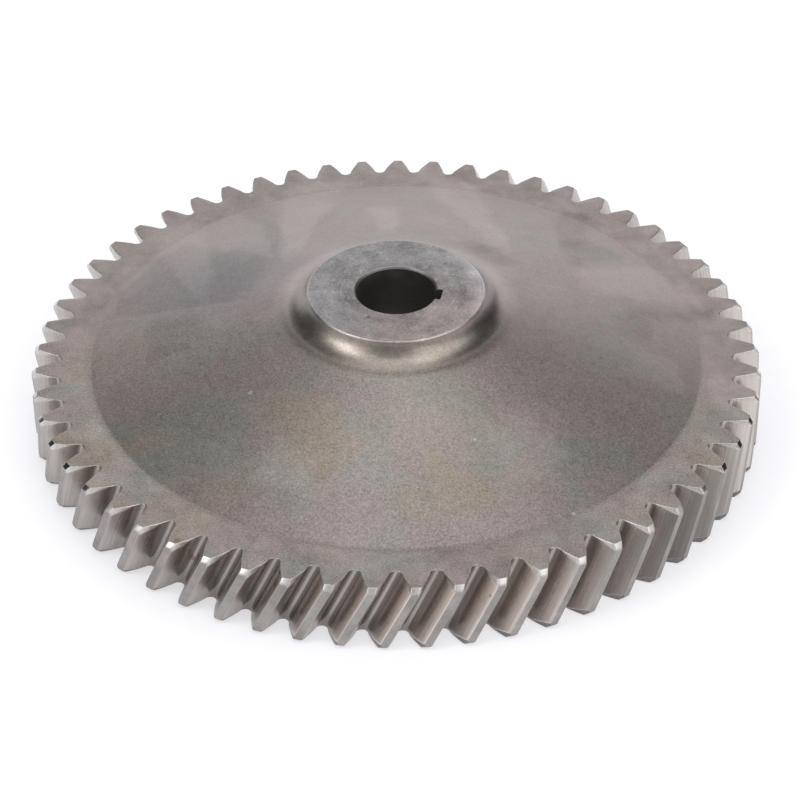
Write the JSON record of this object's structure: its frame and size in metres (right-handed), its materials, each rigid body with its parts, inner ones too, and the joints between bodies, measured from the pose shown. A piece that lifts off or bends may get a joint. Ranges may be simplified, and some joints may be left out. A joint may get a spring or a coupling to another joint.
{
  "type": "pinion gear",
  "caption": "Helical pinion gear with a toothed rim, a dished web and a long raised hub with a keyed bore.",
  "frame": {"origin": "on the bore's axis, in the plane of the toothed rim's lower face", "axes": "+Z along the bore towards the long side of the hub, +X from the bore through the middle of the keyway"},
  "size_m": [0.205, 0.205, 0.0419],
  "materials": {
    "steel": "bare machined steel, matt and slightly mottled on the web, ground brighter on the tooth flanks"
  },
  "bodies": {
    "root": {"pinion_gear": "steel"}
  },
  "joints": []
}
